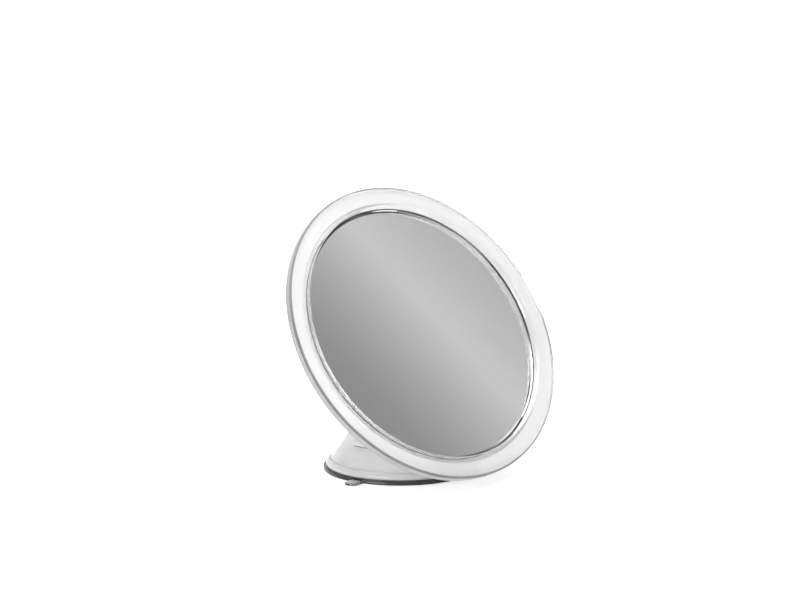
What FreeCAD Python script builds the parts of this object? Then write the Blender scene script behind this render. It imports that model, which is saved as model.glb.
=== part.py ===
"""Standing mirror on a suction base: a round glass in a clear rim, carried by a ball
joint on a clear cone that a lever and a suction cup hold to a smooth surface.

Millimetres, +Z up, the mirror faces -Y. The origin is the centre of the cup's underside.
"""
import math
import os

import FreeCAD
import Part
import Sketcher

doc = FreeCAD.newDocument("suction_mirror")
V = FreeCAD.Vector

# ---------------------------------------------------------------- driving dimensions
# Heights called *_z are measured from the table, those called *_w are measured from
# the ball centre along the mirror's own axis, and those called *_c from the ball
# centre along the axis of the socket collar.
DIMENSIONS = [
    # suction cup
    ("cup_radius", "44.7"),
    ("cup_edge_z", "2.6"),
    ("cup_edge_round", "0.5"),
    ("cup_edge_low", "=cup_radius - cup_edge_round"),
    ("cup_edge_high_z", "=cup_edge_z - cup_edge_round"),
    ("cup_seal_inner", "39"),
    ("cup_mid_radius", "27"),
    ("cup_mid_z", "1.0"),
    ("cup_vault_radius", "12"),
    ("cup_vault_z", "3.3"),
    ("cup_top_step", "29.5"),
    ("cup_boss_radius", "12.5"),
    ("cup_boss_z", "6.1"),
    ("tab_width", "9"),
    ("tab_reach", "50.5"),
    ("tab_thick", "1.5"),
    ("tab_lift", "0.3"),
    ("tab_root", "41"),
    # ring that frames the cup
    ("ring_inner", "31"),
    ("ring_radius", "43.1"),
    ("ring_ledge_z", "5"),
    ("ring_top_z", "6.5"),
    ("ring_shoulder", "2"),
    ("ring_shoulder_r", "=ring_radius - ring_shoulder"),
    ("ring_shoulder_z", "=ring_top_z - ring_shoulder"),
    ("ring_recess_r", "40.6"),
    # clear cone
    ("cone_foot_r", "40.4"),
    ("cone_top_r", "13.1"),
    ("cone_top_z", "45.9"),
    ("cone_wall", "2.8"),
    ("cone_inner_foot_r", "=cone_foot_r - cone_wall"),
    ("cone_roof", "2.5"),
    ("cone_roof_z", "=cone_top_z - cone_roof"),
    ("cone_slope", "=(cone_foot_r - cone_top_r) / (cone_top_z - ring_top_z)"),
    ("cone_inner_top_r", "=cone_top_r + cone_roof * cone_slope - cone_wall"),
    ("cone_bore", "5"),
    ("slot_low_z", "17.5"),
    ("slot_mid_z", "30.6"),
    ("slot_high_z", "38.5"),
    ("slot_half", "11.5"),
    ("slot_neck_half", "6.7"),
    ("boss_circle", "34.7"),
    ("boss_radius", "3.2"),
    ("boss_low_z", "6.6"),
    ("boss_high_z", "16"),
    # screws that close the base
    ("base_screw_r", "1.2"),
    ("base_screw_head_r", "2.3"),
    ("base_screw_head_z", "2.7"),
    ("base_screw_seat_z", "4"),
    ("base_screw_top_z", "11.5"),
    ("base_screw_play", "0.2"),
    ("drive_half", "0.3"),
    ("drive_depth", "0.5"),
    # frame of the locking lever
    ("deck_radius", "23.4"),
    ("deck_low_z", "20"),
    ("deck_high_z", "22.5"),
    ("guide_low_z", "14"),
    ("guide_radius", "5.5"),
    ("leg_half", "3.5"),
    ("lug_inner", "6.4"),
    ("lug_outer", "9"),
    ("lug_top_z", "31.3"),
    ("pin_reach", "8"),
    ("pin_z", "28.5"),
    ("pin_radius", "1.5"),
    ("pin_half", "9"),
    ("leg_toe_in", "29"),
    ("leg_toe_out", "37.2"),
    ("leg_knee_out", "30.8"),
    ("leg_top_out", "23.4"),
    ("leg_top_in", "19"),
    ("leg_knee_in", "27.5"),
    ("lug_foot_in", "3.5"),
    ("lug_foot_out", "12.5"),
    ("lug_crown_in", "5.5"),
    ("lug_crown_out", "10.5"),
    ("run_fit", "0.06"),
    # stud that pulls the cup up
    ("stud_flange_r", "12"),
    ("stud_flange_z", "7.9"),
    ("stud_rivet_r", "2.5"),
    ("stud_rivet_z", "4.8"),
    ("stud_radius", "3"),
    ("bar_low_z", "30.3"),
    ("bar_high_z", "33.3"),
    ("bar_half_o", "3.5"),
    ("bar_half_t", "6"),
    ("stud_tip_r", "1.8"),
    ("stud_tip_z", "35.9"),
    ("nut_radius", "3.2"),
    ("nut_high_z", "35.3"),
    # release lever
    ("lever_low_z", "17.9"),
    ("lever_high_z", "27"),
    ("lever_half", "11"),
    ("lever_proud", "0.6"),
    ("lever_wall", "3.1"),
    ("lip_reach", "2.4"),
    ("lip_thick", "2"),
    ("prong_inner", "3.6"),
    ("prong_outer", "6"),
    ("hub_r", "2.6"),
    ("nose_reach", "2.6"),
    ("nose_radius", "1.4"),
    ("rib_root_z", "26"),
    ("rib_heel_z", "23.6"),
    ("rib_tail_z", "26.2"),
    ("rib_top_z", "31"),
    ("rib_far", "24.8"),
    ("prong_low_z", "27.1"),
    ("prong_high_z", "29.9"),
    ("grip_low_out", "=cone_foot_r - (lever_low_z - ring_top_z) * cone_slope + lever_proud"),
    ("grip_high_out", "=cone_foot_r - (lever_high_z - ring_top_z) * cone_slope + lever_proud"),
    ("grip_low_in", "=grip_low_out - lever_wall"),
    ("grip_high_in", "=grip_high_out - lever_wall"),
    ("lip_out", "=grip_low_out + lip_reach"),
    ("lip_high_z", "=lever_low_z + lip_thick"),
    ("lip_root", "=grip_low_out - lip_thick * cone_slope"),
    # swivelling ball socket
    ("pivot_z", "70.3"),
    ("washer_r", "9.8"),
    ("washer_inner", "5.2"),
    ("turret_low_z", "46.4"),
    ("turret_flange_r", "10.5"),
    ("turret_flange_z", "48.4"),
    ("turret_waist_r", "7.6"),
    ("turret_waist_z", "53"),
    ("turret_neck_z", "61.3"),
    ("spigot_radius", "4.94"),
    ("spigot_low_z", "43.1"),
    ("plate_radius", "8"),
    ("plate_low_z", "41.9"),
    ("swivel_screw_r", "1.5"),
    ("swivel_head_r", "3"),
    ("swivel_head_z", "40.6"),
    ("swivel_top_z", "53.2"),
    ("socket_tip", "30"),
    ("ball_radius", "7.5"),
    ("socket_radius", "=ball_radius + run_fit"),
    ("cup_sphere_r", "11.5"),
    ("thread_radius", "10.5"),
    ("thread_low_c", "-3"),
    ("thread_high_c", "1"),
    ("collar_bore", "10.6"),
    ("collar_radius", "12.2"),
    ("collar_side_c", "2"),
    ("collar_seat_r", "7.49"),
    ("collar_lip_r", "5.917"),
    ("collar_lip_c", "4.706"),
    ("collar_mouth_r", "9.2"),
    ("collar_mouth_c", "7.317"),
    ("collar_crown", "12.36"),
    ("seat_bore", "5"),
    ("seat_radius", "4.9"),
    ("seat_low_c", "-8.6"),
    ("seat_high_c", "-5"),
    ("pocket_low_c", "-9.5"),
    ("spring_inner", "2"),
    ("spring_outer", "4.7"),
    ("spring_thick", "0.4"),
    ("spring_high_c", "=seat_low_c - spring_thick"),
    ("spring_low_c", "=pocket_low_c + spring_thick"),
    # ball stud
    ("lean", "59"),
    ("stem_radius", "2.5"),
    ("flare_w", "11.8"),
    ("flare_r", "4.5"),
    ("flange_w", "14.5"),
    ("flange_r", "10"),
    ("flange_top_w", "16"),
    ("axle_r", "5"),
    ("axle_top_w", "20.4"),
    ("tap_r", "1.5"),
    ("friction_top_w", "16.4"),
    ("spin_plate_bore", "1.7"),
    ("spin_plate_r", "8.5"),
    ("spin_plate_w", "21.2"),
    ("spin_head_r", "3.2"),
    ("spin_head_w", "22.5"),
    ("spin_screw_w", "9.3"),
    # hub behind the mirror
    ("hub_low_w", "16.7"),
    ("hub_flange_r", "17.6"),
    ("hub_chamfer", "0.6"),
    ("hub_face_r", "=hub_flange_r - hub_chamfer"),
    ("hub_face_w", "=hub_low_w + hub_chamfer"),
    ("hub_bore", "=axle_r + run_fit"),
    ("hub_neck_r", "9"),
    ("hub_circle", "13"),
    ("hub_screw_r", "1.1"),
    ("hub_screw_head_r", "2"),
    ("hub_screw_seat_w", "17.7"),
    ("hub_screw_top_w", "19.7"),
    ("hub_screw_play", "0.15"),
    # back shell
    ("shell_low_w", "18.2"),
    ("shell_top_w", "20.2"),
    ("shell_bore", "9.2"),
    ("shell_flat_r", "57"),
    ("shell_bend_r", "62"),
    ("shell_bend_w", "19.1"),
    ("shell_edge_r", "76.6"),
    ("shell_edge_w", "20.6"),
    ("shell_corner_r", "75.1"),
    ("shell_corner_w", "19.5"),
    ("shell_corner_round", "1.6"),
    ("shell_rise_r", "61"),
    ("shell_rise_in", "58"),
    # clear rim
    ("rim_radius", "90"),
    ("rim_back_w", "24"),
    ("rim_edge_w", "29"),
    ("rim_round", "1.5"),
    ("rim_round_r", "=rim_radius - rim_round"),
    ("rim_round_w", "=rim_edge_w - rim_round"),
    ("rim_back_round", "1"),
    ("rim_back_r", "=rim_radius - rim_back_round"),
    ("rim_back_low_w", "=rim_back_w + rim_back_round"),
    ("recess_radius", "77.5"),
    ("recess_top_w", "30"),
    ("recess_round", "0.6"),
    ("recess_edge_r", "=recess_radius + recess_round"),
    ("recess_edge_w", "=recess_top_w - recess_round"),
    ("rim_dome", "56"),
    ("rim_wall_r", "79.4"),
    ("rim_low_w", "21.3"),
    ("ledge_top_w", "22.3"),
    ("ledge_inner", "62"),
    # glass and its backing
    ("tape_inner", "63"),
    ("tape_outer", "76.5"),
    ("tape_top_w", "23.15"),
    ("silver_radius", "76.9"),
    ("silver_top_w", "23.3"),
    ("glass_radius", "77.2"),
    ("glass_bevel_r", "75.8"),
    ("glass_side_w", "24.5"),
    ("glass_top_w", "25.3"),
]

sheet = doc.addObject("Spreadsheet::Sheet", "dims")
for row, (alias, content) in enumerate(DIMENSIONS, start=1):
    sheet.set("A%d" % row, alias)
    sheet.set("B%d" % row, content)
    sheet.setAlias("B%d" % row, alias)
doc.recompute()


def dim(alias):
    """The value of a driving dimension, as a plain number."""
    value = sheet.get(alias)
    return float(getattr(value, "Value", value))


# The lever and the pull tab share one side of the base, turned from the mirror's front.
LEVER_TURN = -71.0 - 90.0
SCREW_TURNS = [LEVER_TURN + turn for turn in (60.0, 180.0, 300.0)]
HUB_TURNS = (90.0, 210.0, 330.0)
NODES = []


# ---------------------------------------------------------------- modelling helpers
def bind(obj, prop, expression):
    obj.setExpression(prop, expression)


def about_z(degrees):
    return FreeCAD.Placement(V(0, 0, 0), FreeCAD.Rotation(V(0, 0, 1), degrees))


def tilted(obj, angle_alias):
    """Stand an object at the ball centre, leaned forward by the named angle."""
    turn = FreeCAD.Rotation(V(1, 0, 0), dim(angle_alias))
    obj.Placement = FreeCAD.Placement(V(0, 0, dim("pivot_z")), turn)
    bind(obj, "Placement.Base.z", "dims.pivot_z")


def outline(sketch, points, arcs):
    """Draw a closed outline through named points; `arcs` gives the radius alias and the
    side (+1 bulges left of the walk, -1 right) of the edge that leaves a point."""
    places = [V(0 if a == "axis" else dim(a), 0 if b == "zero" else dim(b), 0) for a, b in points]
    count = len(points)
    for i in range(count):
        start = places[i]
        end = places[(i + 1) % count]
        if i in arcs:
            alias, side = arcs[i]
            radius = dim(alias)
            chord = end - start
            half = chord.Length / 2
            sag = radius - math.sqrt(max(radius * radius - half * half, 0))
            left = V(-chord.y, chord.x, 0) * (1 / chord.Length)
            middle = (start + end) * 0.5 + left * (sag * side)
            sketch.addGeometry(Part.Arc(start, middle, end))
        else:
            sketch.addGeometry(Part.LineSegment(start, end))
    # an arc keeps its own sense of start and end, so the ends are found by position
    ends = []
    for i in range(count):
        near = sketch.getPoint(i, 1).distanceToPoint(places[i]) < 1e-6
        ends.append((1, 2) if near else (2, 1))
    for i in range(count):
        j = (i + 1) % count
        sketch.addConstraint(Sketcher.Constraint("Coincident", i, ends[i][1], j, ends[j][0]))
    for i, (a, b) in enumerate(points):
        if a == "axis":
            sketch.addConstraint(Sketcher.Constraint("PointOnObject", i, ends[i][0], -2))
        else:
            n = sketch.addConstraint(Sketcher.Constraint("DistanceX", -1, 1, i, ends[i][0], dim(a)))
            bind(sketch, "Constraints[%d]" % n, "dims." + a)
        if b == "zero":
            sketch.addConstraint(Sketcher.Constraint("PointOnObject", i, ends[i][0], -1))
        else:
            n = sketch.addConstraint(Sketcher.Constraint("DistanceY", -1, 1, i, ends[i][0], dim(b)))
            bind(sketch, "Constraints[%d]" % n, "dims." + b)
    for i, (alias, side) in arcs.items():
        n = sketch.addConstraint(Sketcher.Constraint("Radius", i, dim(alias)))
        bind(sketch, "Constraints[%d]" % n, "dims." + alias)


def origin_plane(body, role):
    for feature in body.Origin.OriginFeatures:
        if feature.Role == role:
            return feature


def turned_body(name, points, arcs=None, lean=None):
    """A finished sub-part turned round its own Z axis, as a body with one revolution."""
    body = doc.addObject("PartDesign::Body", name)
    body.Label = name
    sketch = body.newObject("Sketcher::SketchObject", name + "_outline")
    sketch.AttachmentSupport = [(origin_plane(body, "XZ_Plane"), "")]
    sketch.MapMode = "FlatFace"
    outline(sketch, points, arcs or {})
    turn = body.newObject("PartDesign::Revolution", name + "_turned")
    turn.Profile = sketch
    turn.ReferenceAxis = (sketch, ["V_Axis"])
    turn.Angle = 360
    body.Tip = turn
    if lean:
        tilted(body, lean)
    NODES.append(body)
    return body


def turned(name, points, arcs=None):
    """A turned blank that later booleans use."""
    sketch = doc.addObject("Sketcher::SketchObject", name + "_outline")
    sketch.Placement = FreeCAD.Placement(V(0, 0, 0), FreeCAD.Rotation(V(1, 0, 0), 90))
    outline(sketch, points, arcs or {})
    turn = doc.addObject("Part::Revolution", name)
    turn.Source = sketch
    turn.Axis = V(0, 0, 1)
    turn.Base = V(0, 0, 0)
    turn.Angle = 360
    turn.Solid = True
    return turn


def cylinder(name, radius, low, high, reach=None, turn=0.0, grow=None):
    """An upright cylinder between two named heights, at a named reach from the axis."""
    obj = doc.addObject("Part::Cylinder", name)
    bind(obj, "Radius", "dims." + radius + (" + dims." + grow if grow else ""))
    bind(obj, "Height", "dims.%s - dims.%s" % (high, low))
    bind(obj, "Placement.Base.z", "dims." + low)
    if reach:
        bind(obj, "Placement.Base.x", "dims.%s * cos(%.9g deg)" % (reach, turn))
        bind(obj, "Placement.Base.y", "dims.%s * sin(%.9g deg)" % (reach, turn))
    return obj


def cross_rod(name, radius, half, reach, height, grow=None):
    """A cylinder lying across the lever, centred on the lever's plane."""
    obj = doc.addObject("Part::Cylinder", name)
    obj.Placement = FreeCAD.Placement(V(0, 0, 0), FreeCAD.Rotation(V(1, 0, 0), -90))
    bind(obj, "Radius", "dims." + radius + (" + dims." + grow if grow else ""))
    bind(obj, "Height", "2 * dims." + half)
    bind(obj, "Placement.Base.x", "dims." + reach)
    bind(obj, "Placement.Base.y", "-dims." + half)
    bind(obj, "Placement.Base.z", "dims." + height)
    return obj


def block(name, x_low, x_high, half, low, high):
    """A box from x_low to x_high (expressions), centred across, between two expressions."""
    obj = doc.addObject("Part::Box", name)
    bind(obj, "Length", "(%s) - (%s)" % (x_high, x_low))
    bind(obj, "Width", "2 * (%s)" % half)
    bind(obj, "Height", "(%s) - (%s)" % (high, low))
    bind(obj, "Placement.Base.x", x_low)
    bind(obj, "Placement.Base.y", "-(%s)" % half)
    bind(obj, "Placement.Base.z", low)
    return obj


def slab(name, points, width, start):
    """A flat plate: an outline in the lever's upright plane, given thickness sideways."""
    sketch = doc.addObject("Sketcher::SketchObject", name + "_outline")
    sketch.Placement = FreeCAD.Placement(V(0, 0, 0), FreeCAD.Rotation(V(1, 0, 0), 90))
    outline(sketch, points, {})
    obj = doc.addObject("Part::Extrusion", name)
    obj.Base = sketch
    obj.DirMode = "Custom"
    obj.Dir = V(0, 1, 0)
    obj.Solid = True
    bind(obj, "LengthFwd", width)
    bind(obj, "Placement.Base.y", start)
    return obj


def fuse(name, shapes):
    obj = doc.addObject("Part::MultiFuse", name)
    obj.Shapes = shapes
    obj.Refine = True
    return obj


def cut(name, base, tools):
    tool = tools[0] if len(tools) == 1 else fuse(name + "_tools", tools)
    obj = doc.addObject("Part::Cut", name)
    obj.Base = base
    obj.Tool = tool
    obj.Refine = True
    return obj


def common(name, first, second):
    obj = doc.addObject("Part::MultiCommon", name)
    obj.Shapes = [first, second]
    return obj


def finished(obj, name):
    obj.Label = name
    NODES.append(obj)
    return obj


# ---------------------------------------------------------------- suction base
# The cup is a soft disc, sealed round its edge and vaulted in the middle, with a pull tab.
cup_blank = turned("cup_blank", [
    ("axis", "cup_vault_z"), ("cup_vault_radius", "cup_vault_z"), ("cup_mid_radius", "cup_mid_z"),
    ("cup_seal_inner", "zero"), ("cup_edge_low", "zero"), ("cup_radius", "cup_edge_round"),
    ("cup_radius", "cup_edge_high_z"), ("cup_edge_low", "cup_edge_z"), ("cup_top_step", "cup_edge_z"),
    ("cup_boss_radius", "cup_boss_z"), ("stud_rivet_r", "cup_boss_z"), ("stud_rivet_r", "stud_rivet_z"),
    ("axis", "stud_rivet_z"),
], {4: ("cup_edge_round", -1), 6: ("cup_edge_round", -1)})
tab_strip = block("tab_strip", "dims.tab_root", "dims.tab_reach", "dims.tab_width / 2",
                  "dims.tab_lift", "dims.tab_lift + dims.tab_thick")
tab_end = doc.addObject("Part::Cylinder", "tab_end")
bind(tab_end, "Radius", "dims.tab_width / 2")
bind(tab_end, "Height", "dims.tab_thick")
bind(tab_end, "Placement.Base.x", "dims.tab_reach")
bind(tab_end, "Placement.Base.z", "dims.tab_lift")
cup = fuse("suction_cup", [cup_blank, tab_strip, tab_end])
cup.Placement = about_z(LEVER_TURN)
finished(cup, "suction_cup")

# A moulded ring frames the cup and closes the cone from below.
ring_blank = turned("ring_blank", [
    ("ring_inner", "cup_edge_z"), ("ring_radius", "cup_edge_z"), ("ring_radius", "ring_shoulder_z"),
    ("ring_shoulder_r", "ring_top_z"), ("ring_recess_r", "ring_top_z"), ("ring_recess_r", "ring_ledge_z"),
    ("ring_inner", "ring_ledge_z"),
], {2: ("ring_shoulder", -1)})
ring_holes = []
for number, turn in enumerate(SCREW_TURNS, start=1):
    ring_holes.append(cylinder("ring_hole_%d" % number, "base_screw_r", "cup_edge_z", "ring_ledge_z",
                               "boss_circle", turn, "base_screw_play"))
    ring_holes.append(cylinder("ring_sink_%d" % number, "base_screw_head_r", "cup_edge_z",
                               "base_screw_seat_z", "boss_circle", turn, "base_screw_play"))
finished(cut("base_ring", ring_blank, ring_holes), "base_ring")

# The cone is a thin clear moulding, roofed at the top and slotted for the lever.
cone_blank = turned("cone_blank", [
    ("cone_inner_foot_r", "ring_ledge_z"), ("cone_foot_r", "ring_ledge_z"), ("cone_foot_r", "ring_top_z"),
    ("cone_top_r", "cone_top_z"), ("cone_bore", "cone_top_z"), ("cone_bore", "cone_roof_z"),
    ("cone_inner_top_r", "cone_roof_z"), ("cone_inner_foot_r", "ring_top_z"),
])
cone_solid = turned("cone_solid", [
    ("axis", "ring_ledge_z"), ("cone_foot_r", "ring_ledge_z"), ("cone_foot_r", "ring_top_z"),
    ("cone_top_r", "cone_top_z"), ("axis", "cone_top_z"),
])
boss_rods = []
boss_pilots = []
for number, turn in enumerate(SCREW_TURNS, start=1):
    boss_rods.append(cylinder("boss_rod_%d" % number, "boss_radius", "boss_low_z", "boss_high_z",
                              "boss_circle", turn))
    boss_pilots.append(cylinder("boss_pilot_%d" % number, "base_screw_r", "boss_low_z",
                                "base_screw_top_z", "boss_circle", turn))
bosses = common("bosses", fuse("boss_set", boss_rods), cone_solid)
slot_wide = block("slot_wide", "dims.cone_top_r", "dims.cone_foot_r + 5", "dims.slot_half",
                  "dims.slot_low_z", "dims.slot_mid_z")
slot_neck = block("slot_neck", "dims.cone_bore", "dims.cone_foot_r + 5", "dims.slot_neck_half",
                  "dims.slot_mid_z - 1", "dims.slot_high_z")
slot = fuse("slot", [slot_wide, slot_neck])
slot.Placement = about_z(LEVER_TURN)
cone_whole = fuse("cone_whole", [cone_blank, bosses])
finished(cut("cone_housing", cone_whole, [slot] + boss_pilots), "cone_housing")

# The lever frame stands on the ring: a deck on three legs, a guide for the stud, two lugs.
deck = cylinder("deck", "deck_radius", "deck_low_z", "deck_high_z")
guide = cylinder("guide", "guide_radius", "guide_low_z", "deck_high_z")
legs = []
for number, turn in enumerate(SCREW_TURNS, start=1):
    leg = slab("leg_%d" % number, [
        ("leg_toe_in", "ring_ledge_z"), ("leg_toe_out", "ring_ledge_z"), ("leg_toe_out", "boss_low_z"),
        ("leg_knee_out", "boss_low_z"), ("leg_top_out", "deck_high_z"), ("leg_top_in", "deck_high_z"),
        ("leg_top_in", "deck_low_z"), ("leg_knee_in", "boss_low_z"),
    ], "2 * dims.leg_half", "-dims.leg_half")
    turned_leg = fuse("turned_leg_%d" % number, [leg, block("leg_pad_%d" % number, "dims.leg_toe_in",
                      "dims.leg_toe_out", "dims.leg_half", "dims.ring_ledge_z", "dims.boss_low_z")])
    turned_leg.Placement = about_z(turn)
    legs.append(turned_leg)
lugs = []
for side, start in (("left", "dims.lug_inner"), ("right", "-dims.lug_outer")):
    lugs.append(slab("lug_" + side, [
        ("lug_foot_in", "deck_low_z"), ("lug_foot_out", "deck_low_z"), ("lug_crown_out", "lug_top_z"),
        ("lug_crown_in", "lug_top_z"),
    ], "dims.lug_outer - dims.lug_inner", start))
lug_pair = fuse("lug_pair", lugs)
lug_pair.Placement = about_z(LEVER_TURN)
pin_hole = cross_rod("pin_hole", "pin_radius", "lug_outer", "pin_reach", "pin_z")
pin_hole_turned = fuse("pin_hole_turned", [pin_hole, cross_rod("pin_hole_twin", "pin_radius", "pin_half",
                                                               "pin_reach", "pin_z")])
pin_hole_turned.Placement = about_z(LEVER_TURN)
frame_holes = [pin_hole_turned, cylinder("guide_bore", "stud_radius", "guide_low_z", "deck_high_z",
                                         grow="run_fit")]
for number, turn in enumerate(SCREW_TURNS, start=1):
    frame_holes.append(cylinder("foot_hole_%d" % number, "base_screw_r", "ring_ledge_z", "boss_low_z",
                                "boss_circle", turn, "base_screw_play"))
frame_blank = fuse("frame_blank", [deck, guide, lug_pair] + legs)
finished(cut("lever_frame", frame_blank, frame_holes), "lever_frame")

# Three countersunk screws join ring, frame and cone.
for number, turn in enumerate(SCREW_TURNS, start=1):
    head = cylinder("base_head_%d" % number, "base_screw_head_r", "base_screw_head_z",
                    "base_screw_seat_z")
    shank = cylinder("base_shank_%d" % number, "base_screw_r", "base_screw_seat_z", "base_screw_top_z")
    drive = block("base_drive_%d" % number, "-dims.base_screw_head_r", "dims.base_screw_head_r",
                  "dims.drive_half", "dims.base_screw_head_z - dims.drive_depth",
                  "dims.base_screw_head_z + dims.drive_depth")
    screw = cut("base_screw_%d" % number, fuse("base_blank_%d" % number, [head, shank]), [drive])
    bind(screw, "Placement.Base.x", "dims.boss_circle * cos(%.9g deg)" % turn)
    bind(screw, "Placement.Base.y", "dims.boss_circle * sin(%.9g deg)" % turn)
    finished(screw, "base_screw_%d" % number)

# The steel pin of the lever is pressed into the lugs.
pin = fuse("lever_pin", [cross_rod("pin_rod", "pin_radius", "pin_half", "pin_reach", "pin_z"),
                         cross_rod("pin_core", "pin_radius", "lug_inner", "pin_reach", "pin_z")])
pin.Placement = about_z(LEVER_TURN)
finished(pin, "lever_pin")

# ---------------------------------------------------------------- stud and lever
# The stud is bonded into the cup and rises through the guide; a cross bar and nut cap it.
turned_body("cup_stud", [
    ("axis", "stud_rivet_z"), ("stud_rivet_r", "stud_rivet_z"), ("stud_rivet_r", "cup_boss_z"),
    ("stud_flange_r", "cup_boss_z"), ("stud_flange_r", "stud_flange_z"), ("stud_radius", "stud_flange_z"),
    ("stud_radius", "bar_low_z"), ("stud_tip_r", "bar_low_z"), ("stud_tip_r", "stud_tip_z"),
    ("axis", "stud_tip_z"),
])
bar_block = block("bar_block", "-dims.bar_half_o", "dims.bar_half_o", "dims.bar_half_t",
                  "dims.bar_low_z", "dims.bar_high_z")
bar = cut("stud_crossbar", bar_block, [cylinder("bar_hole", "stud_tip_r", "bar_low_z", "bar_high_z")])
bar.Placement = about_z(LEVER_TURN)
finished(bar, "stud_crossbar")
nut_prism = doc.addObject("Part::Prism", "nut_prism")
nut_prism.Polygon = 6
bind(nut_prism, "Circumradius", "dims.nut_radius")
bind(nut_prism, "Height", "dims.nut_high_z - dims.bar_high_z")
bind(nut_prism, "Placement.Base.z", "dims.bar_high_z")
finished(cut("stud_nut", nut_prism, [cylinder("nut_hole", "stud_tip_r", "bar_high_z", "nut_high_z")]),
         "stud_nut")

# The lever is a curved grip flush with the cone, joined by two prongs that lift the bar.
grip_blank = turned("grip_blank", [
    ("grip_low_in", "lever_low_z"), ("lip_out", "lever_low_z"), ("lip_root", "lip_high_z"),
    ("grip_high_out", "lever_high_z"), ("grip_high_in", "lever_high_z"),
])
grip_window = block("grip_window", "dims.cone_top_r", "dims.cone_foot_r + 5", "dims.lever_half",
                    "dims.lever_low_z - 1", "dims.lever_high_z + 1")
grip = common("grip", grip_blank, grip_window)
prongs = []
for side, start in (("left", "dims.prong_inner"), ("right", "-dims.prong_outer")):
    prongs.append(slab("rib_" + side, [
        ("pin_reach", "rib_root_z"), ("rib_far", "rib_heel_z"), ("rib_far", "rib_tail_z"),
        ("pin_reach", "rib_top_z"),
    ], "dims.prong_outer - dims.prong_inner", start))
    prongs.append(slab("prong_" + side, [
        ("nose_reach", "prong_low_z"), ("pin_reach", "prong_low_z"), ("pin_reach", "prong_high_z"),
        ("nose_reach", "prong_high_z"),
    ], "dims.prong_outer - dims.prong_inner", start))
hub_rod = cross_rod("hub_rod", "hub_r", "prong_outer", "pin_reach", "pin_z")
nose_rod = cross_rod("nose_rod", "nose_radius", "prong_outer", "nose_reach", "pin_z")
lever_blank = fuse("lever_blank", [grip, hub_rod, nose_rod] + prongs)
fork_gap = block("fork_gap", "dims.nose_reach - 3", "dims.pin_reach - dims.hub_r", "dims.prong_inner",
                 "dims.pin_z - 4", "dims.pin_z + 4")
lever_bore = cross_rod("lever_bore", "pin_radius", "lever_half", "pin_reach", "pin_z", "run_fit")
lever = cut("release_lever", lever_blank, [fork_gap, lever_bore])
lever.Placement = about_z(LEVER_TURN)
finished(lever, "release_lever")

# ---------------------------------------------------------------- swivelling ball socket
turned_body("swivel_washer", [
    ("washer_inner", "cone_top_z"), ("washer_r", "cone_top_z"), ("washer_r", "turret_low_z"),
    ("washer_inner", "turret_low_z"),
])
neck = turned("neck", [
    ("swivel_screw_r", "spigot_low_z"), ("spigot_radius", "spigot_low_z"),
    ("spigot_radius", "turret_low_z"),
    ("turret_flange_r", "turret_low_z"), ("turret_flange_r", "turret_flange_z"),
    ("turret_waist_r", "turret_waist_z"), ("turret_waist_r", "turret_neck_z"), ("axis", "turret_neck_z"),
    ("axis", "swivel_top_z"), ("swivel_screw_r", "swivel_top_z"),
])
cup_ball = doc.addObject("Part::Sphere", "cup_ball")
bind(cup_ball, "Radius", "dims.cup_sphere_r")
cup_hollow = doc.addObject("Part::Sphere", "cup_hollow")
bind(cup_hollow, "Radius", "dims.socket_radius")
crown_off = cylinder("crown_off", "collar_radius", "thread_high_c", "collar_crown")
thread_ring = turned("thread_ring", [
    ("thread_radius", "thread_low_c"), ("collar_crown", "thread_low_c"), ("collar_crown", "collar_side_c"),
    ("thread_radius", "collar_side_c"),
])
seat_pocket = cylinder("seat_pocket", "seat_bore", "pocket_low_c", "seat_high_c")
bowl_tools = fuse("bowl_tools", [cup_hollow, crown_off, thread_ring, seat_pocket])
tilted(bowl_tools, "socket_tip")
tilted(cup_ball, "socket_tip")
bowl = fuse("bowl", [neck, cup_ball])
finished(cut("socket_cup", bowl, [bowl_tools]), "socket_cup")
turned_body("swivel_plate", [
    ("swivel_screw_r", "plate_low_z"), ("plate_radius", "plate_low_z"), ("plate_radius", "spigot_low_z"),
    ("swivel_screw_r", "spigot_low_z"),
])
turned_body("swivel_screw", [
    ("axis", "swivel_head_z"), ("swivel_head_r", "swivel_head_z"), ("swivel_head_r", "plate_low_z"),
    ("swivel_screw_r", "plate_low_z"), ("swivel_screw_r", "swivel_top_z"), ("axis", "swivel_top_z"),
])
turned_body("seat_spring", [
    ("spring_inner", "pocket_low_c"), ("spring_outer", "spring_high_c"), ("spring_outer", "seat_low_c"),
    ("spring_inner", "spring_low_c"),
], lean="socket_tip")
seat_rod = cylinder("seat_rod", "seat_radius", "seat_low_c", "seat_high_c")
seat_hollow = doc.addObject("Part::Sphere", "seat_hollow")
bind(seat_hollow, "Radius", "dims.socket_radius")
seat = cut("ball_seat", seat_rod, [seat_hollow])
tilted(seat, "socket_tip")
finished(seat, "ball_seat")
turned_body("socket_collar", [
    ("collar_bore", "thread_low_c"), ("collar_radius", "thread_low_c"), ("collar_radius", "collar_side_c"),
    ("collar_mouth_r", "collar_mouth_c"), ("collar_lip_r", "collar_lip_c"),
    ("collar_seat_r", "thread_high_c"), ("collar_bore", "thread_high_c"),
], {2: ("collar_crown", -1), 4: ("socket_radius", 1)}, lean="socket_tip")

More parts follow.
